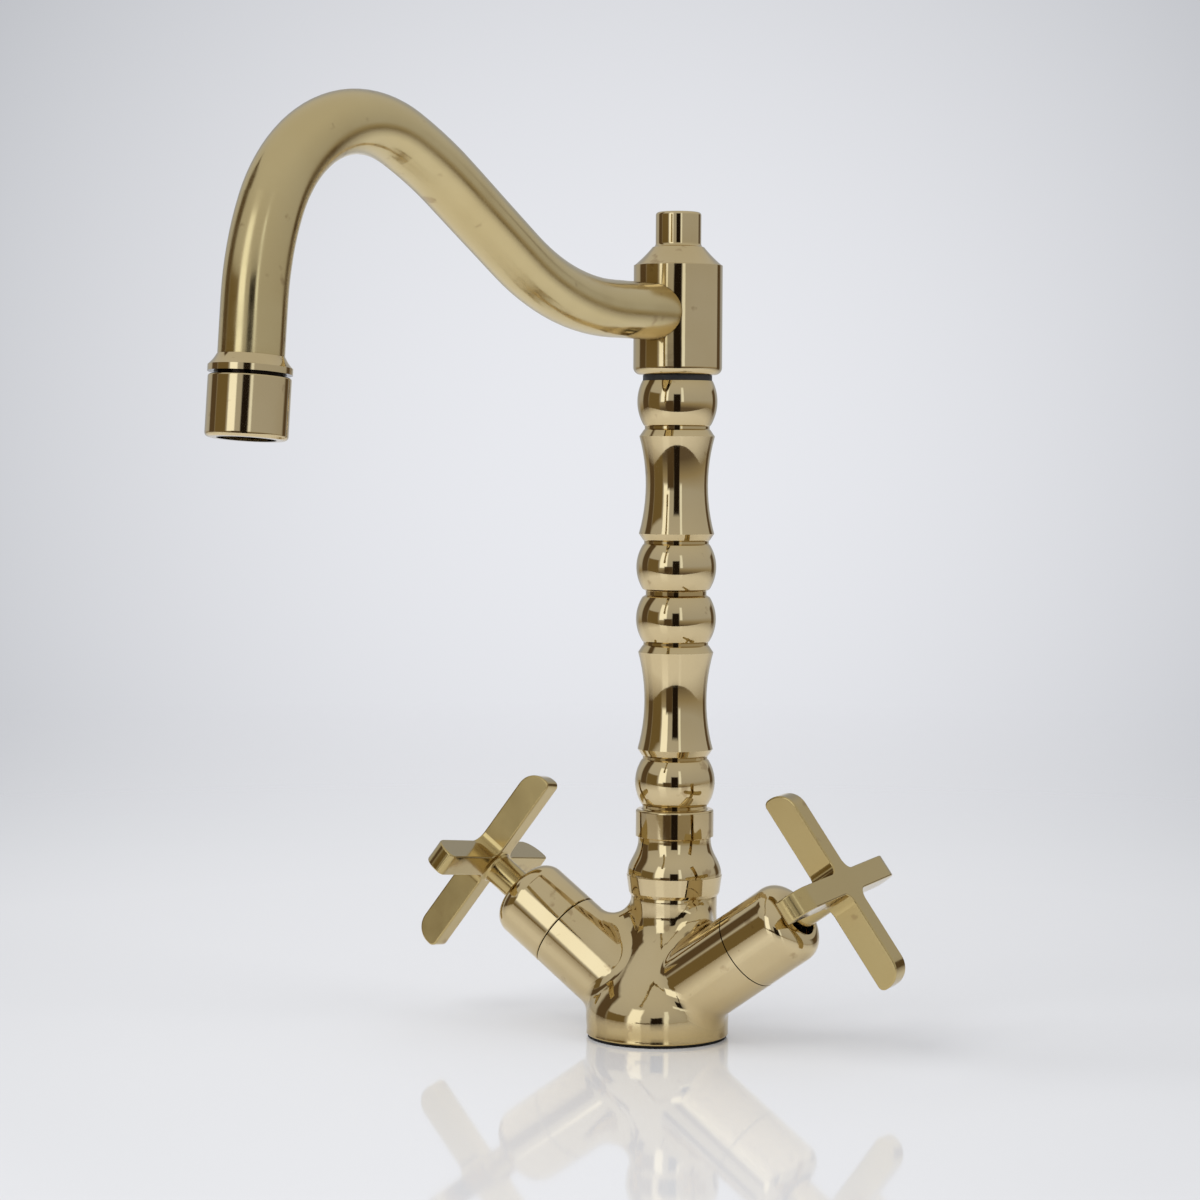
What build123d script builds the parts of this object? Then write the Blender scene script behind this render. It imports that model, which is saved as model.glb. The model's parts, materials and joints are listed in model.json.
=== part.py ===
# Single-hole kitchen mixer in polished brass, in millimetres.
# Origin: centre of the foot's underside. +Z up, the spout points towards -Y,
# the hot arm towards -X and the cold arm towards +X.
from build123d import *
from math import cos, radians, sin
import os

# Foot and body casting
FOOT_R = 28.0
FOOT_EDGE = 0.6
FOOT_BAND = 9.0
GASKET_THICK = 1.0
GASKET_WIDTH = 5.0
GASKET_INSET = 0.8
RECESS_R = 21.0
RECESS_DEPTH = 4.0
PILLAR_BACK = 13.1
NECK_R = 16.9
NECK_FOOT = 47.0
NECK_TOP = 54.3
CORE_STEPS = 8
BODY_FILLET = 8.0

# Valve arms, measured along each arm's own axis
ARM_LIFT_DEG = 35.0
ARM_FORWARD = 1.5
ARM_CENTRE_Z = 9.4
ARM_R = 16.2
ARM_LENGTH = 49.8
SPIGOT_R = 14.2
SPIGOT_LENGTH = 6.2
CHAMBER_R = 10.6
CHAMBER_SEAT = 30.0

# Waterways and threads in the casting
INLET_R = 5.0
INLET_SPACING = 19.6
INLET_DEPTH = 10.0
FEED_R = 3.5
FEED_START = 9.0
OUTLET_R = 3.0
OUTLET_START = 36.0
STUD_R = 4.0
STUD_BACK = 15.5
STUD_DEPTH = 12.0
MIXING_R = 8.0
MIXING_FLOOR = 27.0
MIXING_ENTRY = 32.5
NECK_THREAD_R = 11.1
NECK_THREAD_DEPTH = 10.0

# Clearances and plain O-rings
THREAD_GAP = 0.1
RUNNING_GAP = 0.05
BRAZE_GAP = 0.05
SWIVEL_GAP = 0.1
CLIP_GAP = 0.2
JOINT_RING_R = 0.9

# Column base: flare with its band, and collar band
BASE_SPIGOT_BORE_R = 8.0
FLARE_STEP_R = 17.3
FLARE_STEP = 1.2
FLARE_BAND_FOOT_R = 17.95
FLARE_BAND_TOP_R = 18.9
FLARE_BAND = 7.9
FLARE_FOOT_R = 18.65
FLARE_RISE = 14.1
FLARE_MID_R = 16.5
FLARE_TOP_R = 14.4
COLLAR_R = 15.4
COLLAR_HEIGHT = 10.7
COLLAR_STEP = 1.4
COLLAR_EDGE = 0.9
COLLAR_UNDERCUT = 0.5
COLUMN_SOCKET_DEPTH = 9.4

# Turned column, from its foot up
GROOVE_R = 12.8
GROOVE_HEIGHT = 2.0
MID_GROOVE_R = 12.0
MID_GROOVE_HEIGHT = 3.1
BALL_R = 15.8
BALL_HEIGHT = 17.4
SHAPE_END_R = 13.3
BALL_TOP_R = 13.9
BARREL_HEIGHT = 43.05
BARREL_LIP_R = 14.9
BARREL_WAIST_R = 12.3
BARREL_BEVEL = 2.4
COLUMN_SPIGOT_R = 10.0
COLUMN_BORE_R = 6.5
NIPPLE_THREAD_R = 9.0
NIPPLE_THREAD_DEPTH = 14.0

# Swivel nipple, washer, clip and head
PIVOT_R = 11.0
PIVOT_TOP_ABOVE_LEDGE = 2.6
WASHER_R = 13.6
WASHER_THICK = 2.1
HEAD_R = 17.5
HEAD_HEIGHT = 43.0
HEAD_LOWER_EDGE = 3.0
HEAD_TOP_EDGE = 0.3
RING_GROOVE_DEPTH = 1.7
RING_GROOVE_WIDTH = 2.2
LOWER_RING_HEIGHT = 9.0
UPPER_RING_HEIGHT = 34.0
ANNULUS_R = 13.6
ANNULUS_HEIGHT = 13.0
PORT_R = 4.0
CAP_SOCKET_R = 14.0
CAP_SOCKET_DEPTH = 6.0
CLIP_R = 13.0
CLIP_THICK = 1.2
CLIP_GROOVE_DEPTH = 1.2
CLIP_OPENING = 6.0

# Finial cap
CAP_EDGE_R = 17.2
CONE_HEIGHT = 7.0
CONE_TOP_R = 10.2
CONE_HOLLOW = 0.35
FINIAL_R = 8.95
FINIAL_HEIGHT = 20.7
FINIAL_EDGE = 1.2
FINIAL_BLEND = 1.5
CAP_CAVITY_R = 11.6
CAP_CAVITY_DEPTH = 3.4
CAP_SPIGOT = 2.6

# Spout tube: the runs and bends of its centre line, from the head to the outlet
SPOUT_TURN_DEG = 4.5
SPOUT_UP_HEAD = 24.2
TUBE_R = 11.0
TUBE_WALL = 1.2
TUBE_START = 12.6
LINK_R = 7.0
HEAD_STRAIGHT = 46.0
RISE_BEND_R = 120.0
RISE_BEND_DEG = 30.6
RISE_STRAIGHT = 45.0
EASE_BEND_R = 190.0
EASE_BEND_DEG = 9.25
CROWN_BEND_R = 52.8
CROWN_BEND_DEG = 87.4
DROP_BEND_R = 97.5
DROP_BEND_DEG = 18.95
DROP_STRAIGHT = 18.4

# Outlet, measured down its own axis from the tube's end
NOZZLE_TOP_R = 11.2
NOZZLE_FLARE = 3.3
NOZZLE_FLARE_R = 13.6
NOZZLE_R = 13.9
NOZZLE_HEIGHT = 5.7
NOZZLE_SLEEVE = 8.0
NOZZLE_SLEEVE_WALL = 1.1
OUTLET_THREAD_R = 11.9
OUTLET_THREAD_DEPTH = 3.0
HOUSING_GAP = 1.0
HOUSING_R = 13.65
HOUSING_HEIGHT = 20.4
HOUSING_BORE_R = 10.9
HOUSING_LIP_R = 9.8
HOUSING_LIP = 1.4
HOUSING_TOP_EDGE = 0.7
HOUSING_LOWER_EDGE = 1.5
AERATOR_WASHER = 0.8
AERATOR_WASHER_R = 9.2
INSERT_HEIGHT = 17.0
INSERT_WALL = 1.6
SCREEN_THICK = 0.6
SCREEN_HOLE_R = 0.55
SCREEN_PITCH = 1.7
SCREEN_RIM = 1.2

# Valves, measured along the arm's axis
SEAL_THICK = 1.2
SEAL_BORE_R = 7.0
CAGE_R = 9.7
CAGE_BORE_R = 8.25
THREAD_START = 45.0
VALVE_THREAD_R = 10.5
WINDOW_LENGTH = 5.0
WINDOW_WIDTH = 8.0
DISC_R = 7.9
DISC_THICK = 3.0
DISC_FILM = 0.05
DISC_PORT_R = 2.4
DISC_PORT_OUT = 4.4
SPINDLE_R = 5.0
SPINDLE_FLANGE_R = 7.8
SPINDLE_FLANGE = 3.4
TONGUE_LENGTH = 14.0
TONGUE_WIDTH = 2.4
TONGUE_HEIGHT = 1.0
SPLINE_R = 4.0
SPLINE_DEPTH = 0.4
SPLINE_TEETH = 20
SPLINE_LENGTH = 12.0
HEX_FLATS = 24.0
HEX_THICK = 4.0
VALVE_NECK_R = 7.4
VALVE_NECK = 8.0
SPINDLE_RING_DEPTH = 1.3
SPINDLE_RING_WIDTH = 1.8
SPINDLE_RING_DOWN = 6.0
SPINDLE_CLIP_R = 6.6
SPINDLE_CLIP_GROOVE_R = 3.3
SPINDLE_CLIP = 0.9
SPINDLE_CLIP_OPENING = 3.6

# Shrouds
SHROUD_LENGTH = 26.3
SHROUD_BORE_R = 14.3
SHROUD_END_WALL = 3.4
SHROUD_HOLE_R = 8.6
SHROUD_SHOULDER = 7.0
SHROUD_INNER_ROUND = 4.0
SHROUD_MOUTH_EDGE = 0.3
HOT_SEAM = 0.6
COLD_SEAM = 0.15

# Cross handles
HANDLE_RISE = 25.9
BLADE_DEPTH = 11.3
BLADE_WIDTH = 9.2
BLADE_REACH = 42.0
BLADE_OUTER_ROUND = 8.0
BLADE_BACK_ROUND = 2.4
BLADE_EDGE = 0.6
HUB_FILLET = 4.5
STEM_R = 6.2
STEM_SINK = 5.7
STEM_FILLET = 1.5
SOCKET_COVER = 5.0
SOCKET_GAP = 0.05
SPINDLE_TOP_GAP = 0.4
HOT_HANDLE_DEG = 8.7
COLD_HANDLE_DEG = -3.4
GRUB_R = 2.0
GRUB_BACK = 7.4
GRUB_LENGTH = 3.4
GRUB_TURN_DEG = 135.0
GRUB_KEY = 2.0
GRUB_KEY_DEPTH = 1.6

# Heights that follow from the sizes above
CAST_FLOOR = GASKET_THICK
RECESS_TOP = CAST_FLOOR + RECESS_DEPTH
NECK_SOCKET_FLOOR = NECK_TOP - NECK_THREAD_DEPTH
FLARE_BAND_TOP = NECK_TOP + FLARE_BAND
FLARE_TOP = FLARE_BAND_TOP + FLARE_RISE
COLUMN_FOOT = FLARE_TOP + COLLAR_STEP + COLLAR_HEIGHT
COLUMN_SOCKET_FLOOR = COLUMN_FOOT - COLUMN_SOCKET_DEPTH
COLUMN_TOP = (
    COLUMN_FOOT + 5 * GROOVE_HEIGHT + MID_GROOVE_HEIGHT + 4 * BALL_HEIGHT + 2 * BARREL_HEIGHT
)
NIPPLE_SOCKET_FLOOR = COLUMN_TOP - NIPPLE_THREAD_DEPTH
HEAD_FLOOR = COLUMN_TOP + WASHER_THICK + SWIVEL_GAP
HEAD_TOP = HEAD_FLOOR + HEAD_HEIGHT
HEAD_LEDGE = HEAD_TOP - CAP_SOCKET_DEPTH
SPOUT_Z = HEAD_FLOOR + SPOUT_UP_HEAD
CLIP_SEAT = HEAD_LEDGE + CLIP_GAP
PIVOT_TOP = HEAD_LEDGE + PIVOT_TOP_ABOVE_LEDGE
CONE_TOP = HEAD_TOP + CONE_HEIGHT

# Places along the valve axis that follow
SPIGOT_END = ARM_LENGTH + SPIGOT_LENGTH
DISC_SEAT = CHAMBER_SEAT + SEAL_THICK
MOVING_DISC_SEAT = DISC_SEAT + DISC_THICK + DISC_FILM
SPINDLE_FOOT = MOVING_DISC_SEAT + DISC_THICK
CAGE_SHOULDER = SPINDLE_FOOT + SPINDLE_FLANGE + CLIP_GAP
VALVE_TOP = SPIGOT_END + HEX_THICK + VALVE_NECK
SPINDLE_CLIP_SEAT = VALVE_TOP + CLIP_GAP
SPLINE_START = SPINDLE_CLIP_SEAT + SPINDLE_CLIP
SHROUD_END = ARM_LENGTH + SHROUD_LENGTH
STEM_START = SHROUD_END - STEM_SINK
HANDLE_FACE = SHROUD_END + HANDLE_RISE
BLADE_BACK = HANDLE_FACE - BLADE_DEPTH
GRUB_ALONG = HANDLE_FACE - GRUB_BACK
SOCKET_END = HANDLE_FACE - SOCKET_COVER
SPINDLE_TOP = SOCKET_END - SPINDLE_TOP_GAP

# Planes: local x is the radius and y the height for what turns about the pillar
PILLAR_PLANE = Plane(origin=(0, PILLAR_BACK, 0), x_dir=(1, 0, 0), z_dir=(0, -1, 0))
PILLAR_AXIS = Axis((0, PILLAR_BACK, 0), (0, 0, 1))

# Local x runs out along the spout and y up
SPOUT_OUT = Vector(-sin(radians(SPOUT_TURN_DEG)), -cos(radians(SPOUT_TURN_DEG)), 0)
SPOUT_PLANE = Plane(
    origin=(0, PILLAR_BACK, 0), x_dir=SPOUT_OUT, z_dir=SPOUT_OUT.cross(Vector(0, 0, 1))
)


def core_plane(height):
    """Level plane whose local x runs to the back, so that its circles start there."""
    return Plane(origin=(0, 0, height), x_dir=(0, 1, 0), z_dir=(0, 0, 1))


def arm_plane(side):
    """Plane through an arm: local x runs out along the arm and y up across it."""
    lift = radians(ARM_LIFT_DEG)
    return Plane(
        origin=(0, -ARM_FORWARD, ARM_CENTRE_Z),
        x_dir=(side * cos(lift), 0, sin(lift)),
        z_dir=(0, -side, 0),
    )


def arm_axis(side):
    """The axis that an arm's valve and handle turn about."""
    plane = arm_plane(side)
    return Axis(plane.origin, plane.x_dir)


def across_arm(side, along, turn=0.0):
    """Plane square to an arm at a distance along it, turned about the arm."""
    arm = arm_plane(side)
    up = arm.y_dir * cos(radians(turn)) + Vector(0, 1, 0) * sin(radians(turn))
    return Plane(origin=arm.origin + arm.x_dir * along, x_dir=up, z_dir=arm.x_dir)


def save(piece, label):
    """Name a finished piece and write it."""
    piece.part.label = label
    export_step(piece.part, f"parts/{label}.step")


def pillar_ring(radii, heights):
    """Plain ring about the pillar, between two radii and two heights."""
    with BuildPart() as piece:
        with BuildSketch(Plane.XY.offset(heights[0])):
            with Locations((0, PILLAR_BACK)):
                Circle(radii[1])
                Circle(radii[0], mode=Mode.SUBTRACT)
        extrude(amount=heights[1] - heights[0])
    return piece


def pillar_o_ring(radius, height, section_r):
    """Rubber ring of round section about the pillar."""
    with BuildPart() as piece:
        with BuildSketch(PILLAR_PLANE):
            with Locations((radius, height)):
                Circle(section_r)
        revolve(axis=PILLAR_AXIS)
    return piece


def arm_ring(side, radii, places):
    """Plain ring about an arm's axis, between two radii and two places along it."""
    with BuildPart() as piece:
        with BuildSketch(across_arm(side, places[0])):
            Circle(radii[1])
            Circle(radii[0], mode=Mode.SUBTRACT)
        extrude(amount=places[1] - places[0])
    return piece


# Body casting and gasket


def make_body():
    """Foot, two arms and neck in one hollow casting."""
    with BuildPart() as body:
        heights = [CAST_FLOOR]
        for step in range(CORE_STEPS + 1):
            heights.append(FOOT_BAND + (NECK_FOOT - FOOT_BAND) * step / CORE_STEPS)
        heights.append(NECK_TOP)
        for height in heights:
            rise = min(max((height - FOOT_BAND) / (NECK_FOOT - FOOT_BAND), 0), 1)
            blend = rise * rise * (3 - 2 * rise)
            with BuildSketch(core_plane(height)):
                with Locations((PILLAR_BACK * blend, 0)):
                    Circle(FOOT_R + (NECK_R - FOOT_R) * blend)
        loft()
        for side in (-1, 1):
            with BuildSketch(across_arm(side, 0.0)):
                Circle(ARM_R)
            extrude(amount=ARM_LENGTH)
        with BuildSketch(Plane.XY.offset(CAST_FLOOR)):
            Circle(4 * FOOT_R)
        extrude(amount=-3 * FOOT_R, mode=Mode.SUBTRACT)
        # The curves where the arms run into the core lie well off the middle
        joins = body.edges().filter_by(GeomType.BSPLINE)
        joins = joins.filter_by(lambda edge: edge.length > ARM_R)
        fillet(joins.filter_by(lambda edge: abs(edge.center().X) > ARM_FORWARD), radius=BODY_FILLET)
        fillet(body.faces().sort_by(Axis.Z)[0].edges(), radius=FOOT_EDGE)
        for side in (-1, 1):
            with BuildSketch(across_arm(side, ARM_LENGTH)):
                Circle(SPIGOT_R)
            extrude(amount=SPIGOT_LENGTH)
        # Neck: thread for the column base, and the mixing chamber under it
        with BuildSketch(Plane.XY.offset(NECK_SOCKET_FLOOR)):
            with Locations((0, PILLAR_BACK)):
                Circle(NECK_THREAD_R)
        extrude(amount=NECK_THREAD_DEPTH, mode=Mode.SUBTRACT)
        with BuildSketch(Plane.XY.offset(MIXING_FLOOR)):
            with Locations((0, PILLAR_BACK)):
                Circle(MIXING_R)
        extrude(amount=NECK_TOP - MIXING_FLOOR, mode=Mode.SUBTRACT)
        # Underside: recess, stud hole and the two inlets
        with BuildSketch(Plane.XY.offset(CAST_FLOOR)):
            Circle(RECESS_R)
        extrude(amount=RECESS_DEPTH, mode=Mode.SUBTRACT)
        with BuildSketch(Plane.XY.offset(RECESS_TOP)):
            with Locations((0, STUD_BACK)):
                Circle(STUD_R)
        extrude(amount=STUD_DEPTH, mode=Mode.SUBTRACT)
        with BuildSketch(Plane.XY.offset(RECESS_TOP)):
            with Locations((0, -ARM_FORWARD)):
                with GridLocations(INLET_SPACING, 1, 2, 1):
                    Circle(INLET_R)
        extrude(amount=INLET_DEPTH, mode=Mode.SUBTRACT)
        # Each arm: valve chamber, feed bore from the inlet, outlet bore to the mixing chamber
        for side in (-1, 1):
            with BuildSketch(across_arm(side, CHAMBER_SEAT)):
                Circle(CHAMBER_R)
            extrude(amount=SPIGOT_END - CHAMBER_SEAT, mode=Mode.SUBTRACT)
            with BuildSketch(across_arm(side, FEED_START)):
                Circle(FEED_R)
            extrude(amount=CHAMBER_SEAT - FEED_START, mode=Mode.SUBTRACT)
            port = across_arm(side, OUTLET_START).origin
            run = Vector(0, PILLAR_BACK, MIXING_ENTRY) - port
            with BuildSketch(Plane(origin=port, z_dir=run)):
                Circle(OUTLET_R)
            extrude(amount=run.length, mode=Mode.SUBTRACT)
    return body


def make_gasket():
    """Flat rubber ring that the foot stands on."""
    with BuildPart() as gasket:
        with BuildSketch():
            Circle(FOOT_R - GASKET_INSET)
            Circle(FOOT_R - GASKET_INSET - GASKET_WIDTH, mode=Mode.SUBTRACT)
        extrude(amount=GASKET_THICK)
    return gasket


# Column


def make_column_base():
    """Flare, band and collar in one turned piece, with a threaded spigot below."""
    spigot_r = NECK_THREAD_R - THREAD_GAP
    spigot_foot = NECK_SOCKET_FLOOR + 2 * JOINT_RING_R
    collar_foot = FLARE_TOP + COLLAR_STEP
    with BuildPart() as base:
        with BuildSketch(PILLAR_PLANE):
            with BuildLine():
                Polyline(
                    (BASE_SPIGOT_BORE_R, COLUMN_SOCKET_FLOOR),
                    (BASE_SPIGOT_BORE_R, spigot_foot),
                    (spigot_r, spigot_foot),
                    (spigot_r, NECK_TOP),
                    (FLARE_STEP_R, NECK_TOP),
                    (FLARE_BAND_FOOT_R, NECK_TOP + FLARE_STEP),
                    (FLARE_BAND_TOP_R, FLARE_BAND_TOP),
                    (FLARE_FOOT_R, FLARE_BAND_TOP),
                )
                Spline(
                    (FLARE_FOOT_R, FLARE_BAND_TOP),
                    (FLARE_MID_R, FLARE_BAND_TOP + FLARE_RISE / 2),
                    (FLARE_TOP_R, FLARE_TOP),
                    tangents=((0, 1), (0, 1)),
                )
                Polyline(
                    (FLARE_TOP_R, FLARE_TOP),
                    (FLARE_TOP_R, collar_foot - COLLAR_UNDERCUT),
                    (COLLAR_R, collar_foot),
                    (COLLAR_R, COLUMN_FOOT - COLLAR_EDGE),
                )
                RadiusArc(
                    (COLLAR_R, COLUMN_FOOT - COLLAR_EDGE),
                    (COLLAR_R - COLLAR_EDGE, COLUMN_FOOT),
                    -COLLAR_EDGE,
                )
                Polyline(
                    (COLLAR_R - COLLAR_EDGE, COLUMN_FOOT),
                    (COLUMN_SPIGOT_R + THREAD_GAP, COLUMN_FOOT),
                    (COLUMN_SPIGOT_R + THREAD_GAP, COLUMN_SOCKET_FLOOR),
                    (BASE_SPIGOT_BORE_R, COLUMN_SOCKET_FLOOR),
                )
            make_face()
        revolve(axis=PILLAR_AXIS)
    return base


def turn_groove(foot, height, radius):
    """Draw one groove of the column's outline; gives back its upper height."""
    top = foot + height
    Polyline(
        (SHAPE_END_R, foot),
        (radius, foot + height / 4),
        (radius, top - height / 4),
        (SHAPE_END_R, top),
    )
    return top


def turn_ball(foot, top_r):
    """Draw one ball of the column's outline; gives back its upper height."""
    top = foot + BALL_HEIGHT
    ThreePointArc((SHAPE_END_R, foot), (BALL_R, foot + BALL_HEIGHT / 2), (top_r, top))
    return top


def turn_barrel(foot):
    """Draw one waisted barrel of the column's outline; gives back its upper height."""
    top = foot + BARREL_HEIGHT
    Line((SHAPE_END_R, foot), (BARREL_LIP_R, foot + BARREL_BEVEL))
    ThreePointArc(
        (BARREL_LIP_R, foot + BARREL_BEVEL),
        (BARREL_WAIST_R, foot + BARREL_HEIGHT / 2),
        (BARREL_LIP_R, top - BARREL_BEVEL),
    )
    Line((BARREL_LIP_R, top - BARREL_BEVEL), (SHAPE_END_R, top))
    return top


def make_column():
    """Four balls and two waisted barrels, bored through, with a spigot below."""
    spigot_foot = COLUMN_SOCKET_FLOOR + 2 * JOINT_RING_R
    with BuildPart() as column:
        with BuildSketch(PILLAR_PLANE):
            with BuildLine():
                Polyline(
                    (COLUMN_BORE_R, NIPPLE_SOCKET_FLOOR),
                    (COLUMN_BORE_R, spigot_foot),
                    (COLUMN_SPIGOT_R, spigot_foot),
                    (COLUMN_SPIGOT_R, COLUMN_FOOT),
                    (SHAPE_END_R, COLUMN_FOOT),
                )
                height = turn_groove(COLUMN_FOOT, GROOVE_HEIGHT, GROOVE_R)
                height = turn_ball(height, SHAPE_END_R)
                height = turn_groove(height, GROOVE_HEIGHT, GROOVE_R)
                height = turn_barrel(height)
                height = turn_groove(height, GROOVE_HEIGHT, GROOVE_R)
                height = turn_ball(height, SHAPE_END_R)
                height = turn_groove(height, MID_GROOVE_HEIGHT, MID_GROOVE_R)
                height = turn_ball(height, SHAPE_END_R)
                height = turn_groove(height, GROOVE_HEIGHT, GROOVE_R)
                height = turn_barrel(height)
                height = turn_groove(height, GROOVE_HEIGHT, GROOVE_R)
                height = turn_ball(height, BALL_TOP_R)
                Polyline(
                    (BALL_TOP_R, height),
                    (NIPPLE_THREAD_R, height),
                    (NIPPLE_THREAD_R, NIPPLE_SOCKET_FLOOR),
                    (COLUMN_BORE_R, NIPPLE_SOCKET_FLOOR),
                )
            make_face()
        revolve(axis=PILLAR_AXIS)
    return column


# Swivel


def make_nipple():
    """Pivot that the head turns on: threaded foot, four ports, two seal grooves, clip groove."""
    thread_r = NIPPLE_THREAD_R - THREAD_GAP
    thread_foot = NIPPLE_SOCKET_FLOOR + 2 * JOINT_RING_R
    bore_top = SPOUT_Z + ANNULUS_HEIGHT / 2
    with BuildPart() as nipple:
        with BuildSketch(Plane.XY.offset(thread_foot)):
            with Locations((0, PILLAR_BACK)):
                Circle(thread_r)
        extrude(amount=COLUMN_TOP - thread_foot)
        with BuildSketch(Plane.XY.offset(COLUMN_TOP)):
            with Locations((0, PILLAR_BACK)):
                Circle(PIVOT_R)
        extrude(amount=PIVOT_TOP - COLUMN_TOP)
        with BuildSketch(Plane.XY.offset(thread_foot)):
            with Locations((0, PILLAR_BACK)):
                Circle(COLUMN_BORE_R)
        extrude(amount=bore_top - thread_foot, mode=Mode.SUBTRACT)
        grooves = [
            (HEAD_FLOOR + LOWER_RING_HEIGHT, RING_GROOVE_WIDTH, RING_GROOVE_DEPTH),
            (HEAD_FLOOR + UPPER_RING_HEIGHT, RING_GROOVE_WIDTH, RING_GROOVE_DEPTH),
            (CLIP_SEAT + CLIP_THICK / 2, CLIP_THICK, CLIP_GROOVE_DEPTH),
        ]
        for middle, width, depth in grooves:
            with BuildSketch(Plane.XY.offset(middle - width / 2)):
                with Locations((0, PILLAR_BACK)):
                    Circle(PIVOT_R + depth)
                    Circle(PIVOT_R - depth, mode=Mode.SUBTRACT)
            extrude(amount=width, mode=Mode.SUBTRACT)
        with BuildSketch(Plane.XZ.offset(-PILLAR_BACK)):
            with Locations((0, SPOUT_Z)):
                Circle(PORT_R)
        extrude(amount=2 * PIVOT_R, both=True, mode=Mode.SUBTRACT)
        with BuildSketch(Plane.YZ):
            with Locations((PILLAR_BACK, SPOUT_Z)):
                Circle(PORT_R)
        extrude(amount=2 * PIVOT_R, both=True, mode=Mode.SUBTRACT)
    return nipple


def make_clip():
    """Open ring that sits in the nipple's top groove and keeps the head down."""
    with BuildPart() as clip:
        with BuildSketch(Plane.XY.offset(CLIP_SEAT)):
            with Locations((0, PILLAR_BACK)):
                Circle(CLIP_R)
                Circle(PIVOT_R - CLIP_GROOVE_DEPTH, mode=Mode.SUBTRACT)
            with Locations((0, PILLAR_BACK + CLIP_R)):
                Rectangle(CLIP_OPENING, 2 * (CLIP_R - PIVOT_R) + CLIP_OPENING, mode=Mode.SUBTRACT)
        extrude(amount=CLIP_THICK)
    return clip


def make_head():
    """Turning head: bore for the pivot, ring of water around its ports, socket for the tube."""
    with BuildPart() as head:
        with BuildSketch(Plane.XY.offset(HEAD_FLOOR)):
            with Locations((0, PILLAR_BACK)):
                Circle(HEAD_R)
        extrude(amount=HEAD_HEIGHT)
        fillet(head.edges().sort_by(Axis.Z)[0], radius=HEAD_LOWER_EDGE)
        fillet(head.edges().sort_by(Axis.Z)[-1], radius=HEAD_TOP_EDGE)
        bores = [
            (HEAD_FLOOR, HEAD_TOP, PIVOT_R + RUNNING_GAP),
            (SPOUT_Z - ANNULUS_HEIGHT / 2, SPOUT_Z + ANNULUS_HEIGHT / 2, ANNULUS_R),
            (HEAD_LEDGE, HEAD_TOP, CAP_SOCKET_R),
        ]
        for low, high, radius in bores:
            with BuildSketch(Plane.XY.offset(low)):
                with Locations((0, PILLAR_BACK)):
                    Circle(radius)
            extrude(amount=high - low, mode=Mode.SUBTRACT)
        # Socket for the spout tube, and the hole behind it
        middle = Vector(0, PILLAR_BACK, SPOUT_Z)
        with BuildSketch(Plane(origin=middle + SPOUT_OUT * TUBE_START, z_dir=SPOUT_OUT)):
            Circle(TUBE_R + BRAZE_GAP)
        extrude(amount=HEAD_R, mode=Mode.SUBTRACT)
        with BuildSketch(Plane(origin=middle + SPOUT_OUT * PIVOT_R, z_dir=SPOUT_OUT)):
            Circle(LINK_R)
        extrude(amount=HEAD_R, mode=Mode.SUBTRACT)
    return head


def make_cap():
    """Cone and finial in one, with a spigot that plugs into the head."""
    spigot_r = CAP_SOCKET_R - BRAZE_GAP
    spigot_foot = HEAD_TOP - CAP_SPIGOT
    finial_top = HEAD_TOP + FINIAL_HEIGHT
    with BuildPart() as cap:
        with BuildSketch(PILLAR_PLANE):
            with BuildLine():
                Polyline(
                    (0, spigot_foot + CAP_CAVITY_DEPTH),
                    (CAP_CAVITY_R, spigot_foot + CAP_CAVITY_DEPTH),
                    (CAP_CAVITY_R, spigot_foot),
                    (spigot_r, spigot_foot),
                    (spigot_r, HEAD_TOP),
                    (CAP_EDGE_R, HEAD_TOP),
                )
                ThreePointArc(
                    (CAP_EDGE_R, HEAD_TOP),
                    ((CAP_EDGE_R + CONE_TOP_R) / 2 - CONE_HOLLOW, HEAD_TOP + CONE_HEIGHT / 2),
                    (CONE_TOP_R, CONE_TOP),
                )
                RadiusArc((CONE_TOP_R, CONE_TOP), (FINIAL_R, CONE_TOP + FINIAL_BLEND), FINIAL_BLEND)
                Line((FINIAL_R, CONE_TOP + FINIAL_BLEND), (FINIAL_R, finial_top - FINIAL_EDGE))
                RadiusArc(
                    (FINIAL_R, finial_top - FINIAL_EDGE),
                    (FINIAL_R - FINIAL_EDGE, finial_top),
                    -FINIAL_EDGE,
                )
                Polyline(
                    (FINIAL_R - FINIAL_EDGE, finial_top),
                    (0, finial_top),
                    (0, spigot_foot + CAP_CAVITY_DEPTH),
                )
            make_face()
        revolve(axis=PILLAR_AXIS)
    return cap


# Spout


def spout_path():
    """Centre line of the spout tube, from inside the head to the outlet."""
    with BuildLine(SPOUT_PLANE) as path:
        line = Line((TUBE_START, SPOUT_Z), (HEAD_STRAIGHT, SPOUT_Z))
        line = JernArc(line @ 1, line % 1, RISE_BEND_R, RISE_BEND_DEG)
        line = PolarLine(line @ 1, RISE_STRAIGHT, direction=line % 1)
        line = JernArc(line @ 1, line % 1, EASE_BEND_R, -EASE_BEND_DEG)
        line = JernArc(line @ 1, line % 1, CROWN_BEND_R, -CROWN_BEND_DEG)
        line = JernArc(line @ 1, line % 1, DROP_BEND_R, -DROP_BEND_DEG)
        PolarLine(line @ 1, DROP_STRAIGHT, direction=line % 1)
    return path


def make_tube(path):
    """Swan-neck tube swept along its centre line."""
    line = path.wires()[0]
    with BuildPart() as tube:
        with BuildSketch(Plane(origin=line @ 0, z_dir=line % 0)):
            Circle(TUBE_R)
            Circle(TUBE_R - TUBE_WALL, mode=Mode.SUBTRACT)
        sweep(path=line)
    return tube


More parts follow.
